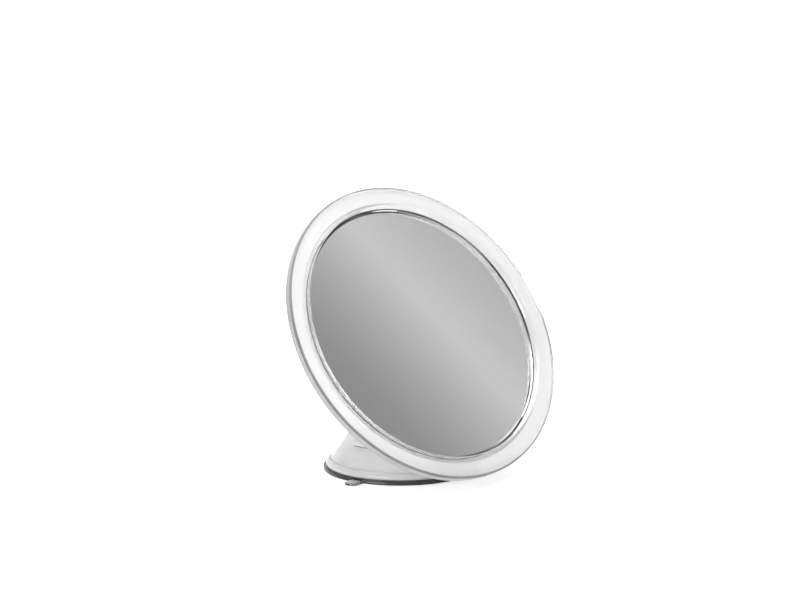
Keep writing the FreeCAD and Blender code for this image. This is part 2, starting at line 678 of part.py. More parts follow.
# ---------------------------------------------------------------- ball stud
# A turned steel stud: ball, waisted stem, flange and the axle that the mirror spins on.
ball = doc.addObject("Part::Sphere", "ball")
bind(ball, "Radius", "dims.ball_radius")
shaft = turned("shaft", [
    ("axis", "zero"), ("stem_radius", "zero"), ("stem_radius", "flare_w"), ("flare_r", "flange_w"),
    ("flange_r", "flange_w"), ("flange_r", "flange_top_w"), ("axle_r", "flange_top_w"),
    ("axle_r", "axle_top_w"), ("axis", "axle_top_w"),
])
stud_tap = cylinder("stud_tap", "tap_r", "spin_screw_w", "axle_top_w")
ball_stud = cut("ball_stud", fuse("stud_blank", [ball, shaft]), [stud_tap])
tilted(ball_stud, "lean")
finished(ball_stud, "ball_stud")
turned_body("friction_washer", [
    ("washer_inner", "flange_top_w"), ("washer_r", "flange_top_w"), ("washer_r", "friction_top_w"),
    ("washer_inner", "friction_top_w"),
], lean="lean")
turned_body("spin_plate", [
    ("spin_plate_bore", "axle_top_w"), ("spin_plate_r", "axle_top_w"), ("spin_plate_r", "spin_plate_w"),
    ("spin_plate_bore", "spin_plate_w"),
], lean="lean")
turned_body("spin_screw", [
    ("axis", "spin_screw_w"), ("tap_r", "spin_screw_w"), ("tap_r", "spin_plate_w"),
    ("spin_head_r", "spin_plate_w"), ("spin_head_r", "spin_head_w"), ("axis", "spin_head_w"),
], lean="lean")

# ---------------------------------------------------------------- mirror head
# The hub carries the head on the axle and is held to the back shell by three screws.
hub_blank = turned("hub_blank", [
    ("hub_bore", "hub_low_w"), ("hub_face_r", "hub_low_w"), ("hub_flange_r", "hub_face_w"),
    ("hub_flange_r", "shell_low_w"), ("hub_neck_r", "shell_low_w"), ("hub_neck_r", "shell_top_w"),
    ("hub_bore", "shell_top_w"),
])
hub_holes = []
shell_pilots = []
for number, turn in enumerate(HUB_TURNS, start=1):
    hub_holes.append(cylinder("hub_hole_%d" % number, "hub_screw_r", "hub_low_w", "shell_low_w",
                              "hub_circle", turn, "hub_screw_play"))
    hub_holes.append(cylinder("hub_sink_%d" % number, "hub_screw_head_r", "hub_low_w",
                              "hub_screw_seat_w", "hub_circle", turn, "hub_screw_play"))
    shell_pilots.append(cylinder("shell_pilot_%d" % number, "hub_screw_r", "shell_low_w",
                                 "hub_screw_top_w", "hub_circle", turn))
hub = cut("pivot_hub", hub_blank, hub_holes)
tilted(hub, "lean")
finished(hub, "pivot_hub")
for number, turn in enumerate(HUB_TURNS, start=1):
    head = cylinder("hub_head_%d" % number, "hub_screw_head_r", "hub_low_w", "hub_screw_seat_w",
                    "hub_circle", turn)
    shank = cylinder("hub_shank_%d" % number, "hub_screw_r", "hub_screw_seat_w", "hub_screw_top_w",
                     "hub_circle", turn)
    screw = fuse("hub_screw_%d" % number, [head, shank])
    tilted(screw, "lean")
    finished(screw, "hub_screw_%d" % number)

# The back shell is a shallow dish bonded to the underside of the rim's ledge.
shell_blank = turned("shell_blank", [
    ("shell_bore", "shell_low_w"), ("shell_flat_r", "shell_low_w"), ("shell_bend_r", "shell_bend_w"),
    ("shell_corner_r", "shell_corner_w"), ("shell_edge_r", "shell_edge_w"), ("shell_edge_r", "rim_low_w"),
    ("shell_rise_r", "rim_low_w"), ("shell_rise_in", "shell_top_w"), ("shell_bore", "shell_top_w"),
], {3: ("shell_corner_round", -1)})
shell = cut("back_shell", shell_blank, shell_pilots)
tilted(shell, "lean")
finished(shell, "back_shell")

# The rim is one clear moulding: a domed outer ring, a recess wall and a ledge for the glass.
turned_body("acrylic_rim", [
    ("ledge_inner", "rim_low_w"), ("rim_wall_r", "rim_low_w"), ("rim_wall_r", "rim_back_w"),
    ("rim_back_r", "rim_back_w"), ("rim_radius", "rim_back_low_w"), ("rim_radius", "rim_round_w"),
    ("rim_round_r", "rim_edge_w"), ("recess_edge_r", "recess_top_w"), ("recess_radius", "recess_edge_w"),
    ("recess_radius", "ledge_top_w"), ("ledge_inner", "ledge_top_w"),
], {3: ("rim_back_round", -1), 5: ("rim_round", -1), 6: ("rim_dome", -1), 7: ("recess_round", -1)},
            lean="lean")
turned_body("tape_ring", [
    ("tape_inner", "ledge_top_w"), ("tape_outer", "ledge_top_w"), ("tape_outer", "tape_top_w"),
    ("tape_inner", "tape_top_w"),
], lean="lean")
turned_body("silver_backing", [
    ("axis", "tape_top_w"), ("silver_radius", "tape_top_w"), ("silver_radius", "silver_top_w"),
    ("axis", "silver_top_w"),
], lean="lean")
turned_body("mirror_glass", [
    ("axis", "silver_top_w"), ("glass_radius", "silver_top_w"), ("glass_radius", "glass_side_w"),
    ("glass_bevel_r", "glass_top_w"), ("axis", "glass_top_w"),
], lean="lean")

# ---------------------------------------------------------------- checking and writing out
doc.recompute()
faults = []
for obj in doc.Objects:
    if "Invalid" in obj.State or "Error" in obj.State:
        faults.append("%s: %s" % (obj.Name, obj.State))
for obj in NODES:
    if obj.Shape.isNull() or not obj.Shape.isValid():
        faults.append(obj.Label + ": bad shape")
if faults:
    raise RuntimeError("; ".join(faults))
os.makedirs("parts", exist_ok=True)
for obj in NODES:
    obj.Shape.exportStep("parts/%s.step" % obj.Label)
    print("%-18s %9.1f mm3" % (obj.Label, obj.Shape.Volume))
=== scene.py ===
import math

import bmesh
import bpy
import numpy as np
from mathutils import Matrix, Vector


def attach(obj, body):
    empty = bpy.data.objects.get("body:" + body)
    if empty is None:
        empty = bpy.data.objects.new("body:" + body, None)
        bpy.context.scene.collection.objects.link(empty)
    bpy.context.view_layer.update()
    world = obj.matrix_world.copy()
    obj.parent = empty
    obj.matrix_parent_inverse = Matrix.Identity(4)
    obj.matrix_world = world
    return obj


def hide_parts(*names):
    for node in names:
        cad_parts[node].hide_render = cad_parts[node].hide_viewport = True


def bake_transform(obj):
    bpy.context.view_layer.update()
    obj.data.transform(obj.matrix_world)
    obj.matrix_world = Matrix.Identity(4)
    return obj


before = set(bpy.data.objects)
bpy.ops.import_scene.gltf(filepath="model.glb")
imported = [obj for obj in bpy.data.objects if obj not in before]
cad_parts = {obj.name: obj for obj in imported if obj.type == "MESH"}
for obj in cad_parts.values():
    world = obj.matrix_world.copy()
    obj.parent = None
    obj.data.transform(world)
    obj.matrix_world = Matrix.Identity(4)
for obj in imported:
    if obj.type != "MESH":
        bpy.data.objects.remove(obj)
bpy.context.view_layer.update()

# ---------------------------------------------------------------------------------
# SUCTION CUP
# A soft disc of smoky clear PVC, injection moulded, vaulted underneath and sealed by
# its flat edge. The stud is bonded into its middle; a pull tab breaks the seal.
# ---------------------------------------------------------------------------------
MM = 0.001
LEVER_TURN = math.radians(-161)


def rounded(corners, steps=5):
    """A polygon's corners with each sharp one replaced by a tangent arc. The arc starts
    and ends at radius / tan(half the corner's angle) from the corner."""
    pts = np.array([(c[0], c[1]) for c in corners], float)
    out = []
    count = len(pts)
    for i, corner in enumerate(corners):
        radius = corner[2] if len(corner) > 2 else 0
        if radius == 0:
            out.append(pts[i])
            continue
        back = pts[i - 1] - pts[i]
        ahead = pts[(i + 1) % count] - pts[i]
        back_len = np.linalg.norm(back)
        ahead_len = np.linalg.norm(ahead)
        back /= back_len
        ahead /= ahead_len
        half = math.acos(np.clip(back @ ahead, -1, 1)) / 2
        reach = min(radius / math.tan(half), back_len * 0.49, ahead_len * 0.49)
        radius = reach * math.tan(half)
        bisector = (back + ahead) / np.linalg.norm(back + ahead)
        centre = pts[i] + bisector * radius / math.sin(half)
        first = pts[i] + back * reach - centre
        last = pts[i] + ahead * reach - centre
        sweep = np.linspace(0, 1, steps + 1)[:, None]
        angle = math.acos(np.clip(first @ last / (radius * radius), -1, 1))
        arc = np.sin((1 - sweep) * angle) * first + np.sin(sweep * angle) * last
        out.extend(arc / math.sin(angle) + centre)
    return np.array(out)


def arc_between(start, end, radius, steps):
    """Points on the circle of this radius through both ends, bulging left of the walk
    for a positive radius: the chord's middle plus the rise of the arc above it."""
    start = np.array(start, float)
    end = np.array(end, float)
    chord = end - start
    length = np.linalg.norm(chord)
    left = np.array([-chord[1], chord[0]]) / length
    drop = math.sqrt(radius * radius - length * length / 4)
    centre = (start + end) / 2 - left * math.copysign(drop, radius)
    a = math.atan2(*(start - centre)[::-1])
    b = math.atan2(*(end - centre)[::-1])
    turn = (b - a + math.pi) % (2 * math.pi) - math.pi
    t = a + turn * np.linspace(0, 1, steps + 1)
    return centre + abs(radius) * np.stack([np.cos(t), np.sin(t)], -1)


def lay(points, lean=0.0, turn=0.0, lift=0.0):
    """Points in millimetres put in place in metres: leaned about X, turned about Z,
    then lifted."""
    p = np.asarray(points, float) * MM
    c, s = math.cos(lean), math.sin(lean)
    x, y, z = p[..., 0], c * p[..., 1] - s * p[..., 2], s * p[..., 1] + c * p[..., 2]
    c, s = math.cos(turn), math.sin(turn)
    return np.stack([c * x - s * y, s * x + c * y, z + lift], -1)


def piece(name, points, faces, sharp=40, flatten=True):
    """A smooth-shaded object from points and faces, welded and facing outwards. Large
    faces keep their own direction where `flatten` is on."""
    mesh = bpy.data.meshes.new(name)
    mesh.from_pydata(points.reshape(-1, 3).tolist(), [], faces.tolist())
    bm = bmesh.new()
    bm.from_mesh(mesh)
    bmesh.ops.remove_doubles(bm, verts=bm.verts, dist=1e-6)
    bmesh.ops.dissolve_degenerate(bm, edges=bm.edges, dist=1e-7)
    bmesh.ops.recalc_face_normals(bm, faces=bm.faces)
    bm.to_mesh(mesh)
    bm.free()
    mesh.polygons.foreach_set("use_smooth", np.ones(len(mesh.polygons), bool))
    mesh.set_sharp_from_angle(angle=math.radians(sharp))
    obj = bpy.data.objects.new(name, mesh)
    bpy.context.scene.collection.objects.link(obj)
    if flatten:
        level = obj.modifiers.new("flatten", "WEIGHTED_NORMAL")
        level.keep_sharp = True
    return obj


def grid_faces(rows, columns, wrap_rows=False, wrap_columns=False):
    """Four-sided faces between neighbouring points of a grid, optionally wrapped round."""
    i = np.arange(rows if wrap_rows else rows - 1)[:, None]
    j = np.arange(columns if wrap_columns else columns - 1)[None, :]
    i2, j2 = (i + 1) % rows, (j + 1) % columns
    quad = [i * columns + j, i * columns + j2, i2 * columns + j2, i2 * columns + j]
    return np.stack(np.broadcast_arrays(*quad), -1).reshape(-1, 4)


def turned(name, profile, segments, closed=True, flutes=None, sharp=40, flatten=True, **place):
    """A profile of (radius, height) carried round the axis. `flutes` is a function of
    radius, height and angle that gives the radius to take off."""
    profile = np.asarray(profile, float)
    angle = np.linspace(0, 2 * math.pi, segments, endpoint=False)[:, None]
    r = np.broadcast_to(profile[None, :, 0], (segments, len(profile)))
    z = np.broadcast_to(profile[None, :, 1], r.shape)
    if flutes:
        r = r - flutes(r, z, angle)
    points = lay(np.stack([r * np.cos(angle), r * np.sin(angle), z], -1), **place)
    return piece(name, points, grid_faces(segments, len(profile), True, closed), sharp, flatten)


class Wire:
    """One output of a material's nodes. Arithmetic on it adds Math nodes."""

    def __init__(self, finish, socket):
        self.finish = finish
        self.socket = socket

    def math(self, operation, first, second):
        inputs = {0: first, 1: second}
        return self.finish.node("ShaderNodeMath", {"operation": operation}, inputs)

    def __add__(self, other):
        return self.math("ADD", self, other)

    def __radd__(self, other):
        return self.math("ADD", other, self)

    def __sub__(self, other):
        return self.math("SUBTRACT", self, other)

    def __mul__(self, other):
        return self.math("MULTIPLY", self, other)

    def __rmul__(self, other):
        return self.math("MULTIPLY", other, self)

    def __pow__(self, other):
        return self.math("POWER", self, other)


SKIN_PASSES = 0.15


class Finish:
    """A material being made, with its shader ready to be fed."""

    def __init__(self, name, **constants):
        self.material = bpy.data.materials.new(name)
        self.material.use_nodes = True
        self.tree = self.material.node_tree
        self.shader = self.tree.nodes["Principled BSDF"]
        for socket, value in constants.items():
            self.shader.inputs[socket.replace("_", " ")].default_value = value
        self.place = self.node("ShaderNodeTexCoord", {}, {}, "Object")

    def node(self, kind, settings, inputs, output=0):
        """Make a node with these settings and inputs, and give one of its outputs."""
        made = self.tree.nodes.new(kind)
        for key, value in settings.items():
            if key == "stops":
                ramp = made.color_ramp.elements
                while len(ramp) < len(value):
                    ramp.new(0.5)
                for stop, (position, colour) in zip(ramp, value):
                    stop.position = position
                    stop.color = (*colour, 1)
            else:
                setattr(made, key, value)
        for key, value in inputs.items():
            if isinstance(value, Wire):
                self.tree.links.new(value.socket, made.inputs[key])
            else:
                made.inputs[key].default_value = value
        return Wire(self, made.outputs[output])

    def noise(self, scale, detail=4, rough=0.5, stretch=(1, 1, 1)):
        """Cloudy variation from 0 to 1, `scale` features to the metre."""
        at = self.node("ShaderNodeMapping", {}, {"Vector": self.place, "Scale": stretch})
        return self.node("ShaderNodeTexNoise", {}, {"Vector": at, "Scale": scale, "Detail": detail,
                                                    "Roughness": rough})

    def ramp(self, value, low, high):
        """A smooth step of `value`: 0 at `low` and 1 at `high`."""
        return self.node("ShaderNodeMapRange", {"interpolation_type": "SMOOTHSTEP"},
                         {"Value": value, "From Min": low, "From Max": high})

    def mix(self, amount, first, second):
        """The first colour at amount 0, the second at 1. Each is a colour or an output."""
        first, second = (c if isinstance(c, Wire) else (*c, 1) for c in (first, second))
        inputs = {0: amount, 6: first, 7: second}
        return self.node("ShaderNodeMix", {"data_type": "RGBA"}, inputs, 2)

    def height(self):
        """Height above the floor, in metres."""
        return self.node("ShaderNodeSeparateXYZ", {}, {0: self.place}, 2)

    def on_head(self, pivot, lean):
        """Distance from the mirror's axis, and along it in front of the ball's centre, in
        metres. The axis leans from upright, about the ball's centre at the pivot height."""
        parts = self.tree.nodes.new("ShaderNodeSeparateXYZ")
        self.tree.links.new(self.place.socket, parts.inputs[0])
        x, y, z = (Wire(self, output) for output in parts.outputs)
        z = z - pivot
        up = y * math.cos(lean) + z * math.sin(lean)
        return (x * x + up * up) ** 0.5, z * math.cos(lean) - y * math.sin(lean)

    def veil(self, amount, colour):
        """Lay a matt skin of this colour, which passes a little light, over the shader."""
        lit, passed = (self.node(kind, {}, {"Color": (*colour, 1)})
                       for kind in ("ShaderNodeBsdfDiffuse", "ShaderNodeBsdfTranslucent"))
        skin = self.node("ShaderNodeMixShader", {}, {0: SKIN_PASSES, 1: lit, 2: passed})
        clear = Wire(self, self.shader.outputs[0])
        both = self.node("ShaderNodeMixShader", {}, {0: amount, 1: clear, 2: skin})
        self.tree.links.new(both.socket, self.tree.nodes["Material Output"].inputs["Surface"])

    def bump(self, height, strength, distance=0.0002):
        """Fine relief from a height, with its full depth in metres."""
        normal = self.node("ShaderNodeBump", {}, {"Height": height, "Strength": strength,
                                                  "Distance": distance})
        self.feed(Normal=normal)

    def feed(self, **sockets):
        """Link outputs to the shader's inputs of the same names."""
        for name, value in sockets.items():
            self.tree.links.new(value.socket, self.shader.inputs[name.replace("_", " ")])

    def on(self, *objects):
        """Make this the only material of the objects."""
        for obj in objects:
            obj.data.materials.clear()
            obj.data.materials.append(self.material)


CUP_RADIUS = 44.7
cup_profile = rounded([
    (0, 3.3), (10, 3.3, 6), (19, 2.0, 12), (28, 0.75, 8), (37, 0.12, 4), (38.6, 0.0, 1),
    (44.3, 0.0, 0.4), (CUP_RADIUS, 0.9, 0.6), (44.5, 1.5, 0.5), (CUP_RADIUS, 2.0, 0.4),
    (44.2, 2.6, 0.3), (30, 2.6, 3), (24, 3.6, 5), (17, 5.2, 5), (12.5, 6.1, 1.2), (2.5, 6.1),
    (2.5, 4.8), (0, 4.8),
])
suction_cup = turned("cup_disc", cup_profile, 224, closed=False, flatten=False)

TAB_START, TAB_END, TAB_HALF, TAB_THICK_HALF, TAB_MIDDLE_Z = 40.5, 55.0, 4.5, 0.72, 1.08
RIDGES_FROM, RIDGE_HEIGHT, RIDGE_RATE = 47, 0.16, 3.4
TAB_ROWS, TAB_COLUMNS = 41, 32


def squarish(wave):
    """A sine or cosine pushed towards its ends, which squares up the oval it draws."""
    return np.sign(wave) * np.abs(wave) ** 0.55


along = np.linspace(TAB_START, TAB_END, TAB_ROWS)[:, None]
past_straight = ((along - (TAB_END - TAB_HALF)) / TAB_HALF).clip(0, 0.999)
round_end = np.sqrt(np.clip(1 - past_straight ** 2, 0, 1))
half_width = TAB_HALF * round_end
ring = np.linspace(0, 2 * math.pi, TAB_COLUMNS + 1)[None, :-1]
ridge_wave = np.clip(np.sin((along - RIDGES_FROM) * RIDGE_RATE), 0, 1)
ridge = RIDGE_HEIGHT * ridge_wave * (along > RIDGES_FROM)
flat = squarish(np.sin(ring)) * (TAB_THICK_HALF + ridge) * (0.35 + 0.65 * round_end)
tab_points = np.stack([np.broadcast_to(along, flat.shape), half_width * squarish(np.cos(ring)),
                       TAB_MIDDLE_Z + flat], -1)
tab_points[0, :, 1:] = tab_points[0, :, 1:].mean(0)
tab_points[-1] = tab_points[-1].mean(0)
pull_tab = piece("pull_tab", lay(tab_points, turn=LEVER_TURN),
                 grid_faces(TAB_ROWS, TAB_COLUMNS, False, True))

smoky_pvc = Finish("smoky_pvc", IOR=1.45, Transmission_Weight=0.1, Specular_IOR_Level=0.3)
flow = smoky_pvc.noise(140, 5, 0.6)
dust = smoky_pvc.ramp(smoky_pvc.noise(2600, 2), 0.62, 0.72)
smoky_pvc.feed(Roughness=0.16 + 0.1 * flow + 0.3 * dust,
               Base_Color=smoky_pvc.mix(smoky_pvc.ramp(flow, 0.35, 0.7), (0.02, 0.021, 0.022),
                                        (0.045, 0.046, 0.048)))
smoky_pvc.bump(smoky_pvc.noise(420, 3) + 0.4 * dust, 0.12)
smoky_pvc.on(suction_cup)
clear_pvc = Finish("clear_pvc", IOR=1.5, Transmission_Weight=1.0)
haze = clear_pvc.noise(300, 4)
clear_pvc.feed(Roughness=0.04 + 0.06 * haze,
               Base_Color=clear_pvc.mix(haze, (0.8, 0.805, 0.81), (0.9, 0.905, 0.91)))
clear_pvc.bump(clear_pvc.noise(900, 2), 0.08)
clear_pvc.on(pull_tab)
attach(pull_tab, "base")
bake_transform(suction_cup)
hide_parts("suction_cup")

# ---------------------------------------------------------------------------------
# BASE RING
# The pale ring that frames the cup and closes the cone from below. It is moulded in
# the same clear plastic as the cone, and screwed to it from underneath.
# ---------------------------------------------------------------------------------
base_ring = turned("foot_ring", rounded([
    (31, 2.6, 0.4), (43.0, 2.6, 0.25), (43.1, 3.4, 0.2), (43.05, 4.5, 1.2),
    (42.2, 5.75, 1.5), (41.1, 6.4, 0.9), (40.8, 6.5, 0.1), (40.62, 6.25, 0.1),
    (40.62, 5.0), (31, 5.0, 0.4),
]), 224)
pale_clear = Finish("pale_clear_plastic", IOR=1.49, Transmission_Weight=0.3)
swirl = pale_clear.noise(26, 5, 0.55, (1, 1, 2.5))
specks = pale_clear.ramp(pale_clear.noise(3200, 2), 0.66, 0.74)
pale_clear.feed(Base_Color=pale_clear.mix(pale_clear.ramp(swirl, 0.3, 0.7), (0.53, 0.53, 0.53),
                                          (0.61, 0.61, 0.61)),
                Roughness=0.13 + 0.08 * swirl + 0.25 * specks)
pale_clear.bump(pale_clear.noise(160, 3) + 0.15 * specks, 0.07, 0.0004)
pale_clear.on(base_ring)
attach(base_ring, "base")
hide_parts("base_ring")

# ---------------------------------------------------------------------------------
# CONE
# A thin-walled clear moulding, slotted on one side for the lever and roofed at the top
# where the turret swivels. The slot is wide below and narrows to a neck above.
# ---------------------------------------------------------------------------------
FOOT_R, FOOT_Z, TOP_R, TOP_Z, WALL, ROOF = 40.4, 6.5, 13.1, 45.9, 2.8, 2.5
FOOT_LOW, ROOF_EDGE, ROOF_CHAMFER, BORE_R = 5.0, (45.2, 45.6, 45.85), 0.25, 5.0
SLOPE = (FOOT_R - TOP_R) / (TOP_Z - FOOT_Z)
SLOT_LOW, SLOT_MID, SLOT_HIGH, SLOT_HALF, NECK_HALF = 17.5, 30.6, 38.5, 11.5, 6.7


def cone_radius(z):
    """Outer radius at a height: straight up the foot, then in by the slope."""
    return FOOT_R - SLOPE * np.clip(z - FOOT_Z, 0, None)


def between(edges, counts):
    """Even divisions inside each span between neighbouring edges."""
    spans = [np.linspace(a, b, n, endpoint=False) for a, b, n in zip(edges[:-1], edges[1:], counts)]
    return np.concatenate(spans + [[edges[-1]]])


def widened(turn, growth):
    """The turn that keeps a point as far sideways on a skin smaller by this growth."""
    return np.arcsin(np.clip(np.sin(turn) * growth, -0.98, 0.98))


heights = between([FOOT_LOW, FOOT_Z, SLOT_LOW, SLOT_MID, SLOT_HIGH, ROOF_EDGE[0]],
                  [2, 12, 14, 9, 8])
heights = np.concatenate([heights, ROOF_EDGE[1:]])
outer_r = cone_radius(heights)
outer_r[-1] -= ROOF_CHAMFER
# the marks count the columns: 0 to 1 and 2 to 3 beside the neck, 1 to 2 across it, and
# 3 to 4 round the rest of the cone
column_marks = between([0, 1, 2, 3, 4], [6, 14, 6, 120])[:-1]
neck_turn = np.arcsin(NECK_HALF / outer_r)[:, None]
slot_turn = np.arcsin(SLOT_HALF / outer_r)[:, None]
mark = column_marks[None, :]
angle = np.where(mark < 1, -slot_turn + (slot_turn - neck_turn) * mark,
        np.where(mark < 2, -neck_turn + 2 * neck_turn * (mark - 1),
        np.where(mark < 3, neck_turn + (slot_turn - neck_turn) * (mark - 2),
                 slot_turn + (2 * math.pi - 2 * slot_turn) * (mark - 3))))
inner_r = np.clip(cone_radius(heights) - WALL, BORE_R, None)
inner_r[heights >= TOP_Z - ROOF] = BORE_R
skins = []
for radii, z in ((outer_r, heights), (inner_r, np.minimum(heights, TOP_Z - ROOF))):
    # side edges of the slot stay upright planes, so the inner skin takes its own angles,
    # and the columns beside the slot fade back to the plain ones
    growth = np.clip(outer_r / radii, 1, 1.6)[:, None]
    fade = np.clip(1 - np.minimum(mark - 3, 4 - mark) * 4, 0, 1)
    shift_at_edge = widened(slot_turn, growth) - slot_turn
    side = np.where(mark - 3 < 0.5, 1.0, -1.0)
    bent = np.where(mark < 3, widened(angle, growth), angle + side * fade * shift_at_edge)
    skins.append(np.stack([radii[:, None] * np.cos(bent), radii[:, None] * np.sin(bent),
                           np.broadcast_to(z[:, None], bent.shape)], -1))
rows, columns = angle.shape
cells = np.ones((rows - 1, columns), bool)
middle = (heights[1:] + heights[:-1]) / 2
wide_rows = (middle > SLOT_LOW) & (middle < SLOT_MID)
neck_rows = (middle >= SLOT_MID) & (middle < SLOT_HIGH)
cells[np.ix_(wide_rows, column_marks < 3)] = False
cells[np.ix_(neck_rows, (column_marks >= 1) & (column_marks < 2))] = False
# faces of both skins where the wall stands, then the level and upright edges round it
index = np.arange(rows * columns).reshape(rows, columns)
beside = np.roll(index, -1, 1)
inner = rows * columns
outside = np.stack([index[:-1], beside[:-1], beside[1:], index[1:]], -1)[cells]
inside = np.stack([index[:-1], index[1:], beside[1:], beside[:-1]], -1)[cells] + inner
none_there = np.zeros((1, columns), bool)
padded_cells = np.vstack([none_there, cells, none_there])
level = padded_cells[1:] != padded_cells[:-1]
level_edges = np.stack([index, beside, beside + inner, index + inner], -1)[level]
upright = cells != np.roll(cells, 1, 1)
upright_edges = np.stack([index[:-1], index[1:], index[1:] + inner, index[:-1] + inner], -1)
upright_edges = upright_edges[upright]
cone_points = np.concatenate([skin.reshape(-1, 3) for skin in skins])
cone_faces = np.concatenate([outside, inside, level_edges, upright_edges])
cone = piece("clear_cone", lay(cone_points, turn=LEVER_TURN), cone_faces, sharp=30)
pale_clear.on(cone)
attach(cone, "base")
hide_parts("cone_housing")

# ---------------------------------------------------------------------------------
# RELEASE LEVER
# A curved grip that lies flush in the cone's slot, with a lip for the fingertip, on two
# prongs that straddle the stud and lift its cross bar. One clear moulding on a steel
# pin. The lower edge of its lip is painted dark as shade.
# ---------------------------------------------------------------------------------
PIN_OUT, PIN_Z = 8.0, 28.5
GRIP_HALF = 11.0
grip_section = rounded([
    (30.0, 17.9, 0.5), (35.33, 17.9, 0.5), (35.53, 18.9, 0.5), (32.54, 20.0, 0.9),
    (30.77, 21.35, 0.3), (30.16, 21.75, 0.25), (29.99, 22.5, 0.25), (29.64, 23.0, 0.3),
    (28.94, 23.5, 0.25), (28.76, 24.2, 0.25), (28.41, 24.7, 0.3), (26.92, 26.9, 0.4),
    (26.53, 27.0, 0.3), (23.83, 27.0, 0.4),
], 4)
across = np.sin(np.linspace(-math.pi / 2, math.pi / 2, 41))
inset = 1 - 0.12 * (np.abs(across) ** 12)
middle_of_section = grip_section.mean(0)
section = middle_of_section + (grip_section - middle_of_section)[None] * inset[:, None, None]
end_cap = np.broadcast_to(middle_of_section, section[:1].shape)
section = np.concatenate([end_cap, section, end_cap])
across = np.concatenate([[-1], across, [1]])
grip_turn = np.arcsin(np.clip(GRIP_HALF * across[:, None] / section[..., 0], -1, 1))
grip_points = np.stack([section[..., 0] * np.cos(grip_turn), section[..., 0] * np.sin(grip_turn),
                        section[..., 1]], -1)
grip = piece("lever_grip", lay(grip_points, turn=LEVER_TURN),
             grid_faces(len(across), len(grip_section), False, True), sharp=50)


def plate(name, outline, low, high, turn):
    """A flat plate: the outline stands in the upright plane and is carried sideways from
    `low` to `high`; both broad faces are single polygons."""
    count = len(outline)
    rings = [np.stack([outline[:, 0], np.full(count, y), outline[:, 1]], -1) for y in (low, high)]
    mesh = bpy.data.meshes.new(name)
    walls = grid_faces(2, count, False, True).tolist()
    mesh.from_pydata(lay(np.concatenate(rings), turn=turn).tolist(), [],
                     walls + [list(range(count)), list(range(count, 2 * count))])
    bm = bmesh.new()
    bm.from_mesh(mesh)
    bmesh.ops.recalc_face_normals(bm, faces=bm.faces)
    bm.to_mesh(mesh)
    bm.free()
    obj = bpy.data.objects.new(name, mesh)
    bpy.context.scene.collection.objects.link(obj)
    bevel = obj.modifiers.new("edge", "BEVEL")
    bevel.width = 0.00022
    bevel.segments = 2
    bevel.limit_method = "ANGLE"
    bevel.harden_normals = True
    mesh.polygons.foreach_set("use_smooth", np.ones(len(mesh.polygons), bool))
    mesh.set_sharp_from_angle(angle=math.radians(35))
    return obj


prong_outline = rounded([
    (1.2, 27.1, 1.3), (1.2, 29.9, 1.3), (5.4, 29.9, 1.5), (7.6, 31.1, 1.8), (10.0, 30.7, 2),
    (24.6, 26.2, 0.2), (24.9, 23.8, 0.2), (11.0, 25.4, 3), (7.4, 25.9, 2), (5.6, 27.1, 1.5),
], 6)
PRONG_NEAR, PRONG_FAR = 3.6, 6.0
prongs = [plate("lever_prong_" + side, prong_outline, low, high, LEVER_TURN)
          for side, low, high in (("left", PRONG_NEAR, PRONG_FAR),
                                  ("right", -PRONG_FAR, -PRONG_NEAR))]


def rod(name, radius, bore, half, out, height, turn, segments=64):
    """A barrel lying across the lever: a bored ring section carried round a sideways
    axis, which stands at `out` and `height`."""
    profile = rounded([
        (bore, -half, 0.1), (radius, -half, 0.25), (radius, half, 0.25), (bore, half, 0.1),
    ], 3)
    angle = np.linspace(0, 2 * math.pi, segments, endpoint=False)[:, None]
    r, y = profile[None, :, 0], profile[None, :, 1]
    points = np.stack([out + r * np.cos(angle), np.broadcast_to(y, (segments, len(profile))),
                       height + r * np.sin(angle)], -1)
    return piece(name, lay(points, turn=turn), grid_faces(segments, len(profile), True, True))


BARREL_R, BARREL_BORE, BARREL_HALF = 2.6, 1.57, 3.58
barrel = rod("lever_barrel", BARREL_R, BARREL_BORE, BARREL_HALF, PIN_OUT, PIN_Z, LEVER_TURN)
lever_clear = Finish("lever_clear_plastic", IOR=1.49, Transmission_Weight=0.4)
worn = lever_clear.noise(75, 5, 0.6)
rubbed = lever_clear.ramp(lever_clear.noise(1500, 3, 0.6, (1, 1, 0.15)), 0.6, 0.72)
LIP_LIGHT_Z, LIP_DARK_Z = 0.01885, 0.0183
# painted shade: the lever's colour turns nearly black below the height of the lip's edge
lip_shade = lever_clear.ramp(lever_clear.height(), LIP_LIGHT_Z, LIP_DARK_Z)
moulded = lever_clear.mix(worn, (0.70, 0.70, 0.70), (0.80, 0.80, 0.80))
lever_clear.feed(Base_Color=lever_clear.mix(lip_shade, moulded, (0.10, 0.10, 0.105)),
                 Roughness=0.14 + 0.1 * worn + 0.2 * rubbed)
lever_clear.bump(lever_clear.noise(240, 3) + 0.2 * rubbed, 0.06, 0.0003)
for obj in [grip, barrel] + prongs:
    lever_clear.on(obj)
    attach(obj, "lever")
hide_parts("release_lever")

# ---------------------------------------------------------------------------------
# INNER FRAME, SCREWS AND PINS
# The frame and stud are white mouldings, the screws, pin, cross bar, nut, spring and
# plates are zinc-plated steel, and the washers and ball seat are natural acetal.
# ---------------------------------------------------------------------------------
def coat(finish, *names):
    """Give a finish to pieces that keep their own shape."""
    for name in names:
        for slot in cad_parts[name].material_slots:
            slot.material = finish.material


white_moulding = Finish("white_moulding", IOR=1.48)
mottle = white_moulding.noise(90, 5)
spark = white_moulding.noise(5200, 2)
white_moulding.feed(Base_Color=white_moulding.mix(mottle, (0.66, 0.67, 0.67), (0.76, 0.76, 0.755)),
                    Roughness=0.42 + 0.16 * spark)
white_moulding.bump(spark, 0.12, 0.00008)
coat(white_moulding, "lever_frame", "cup_stud")

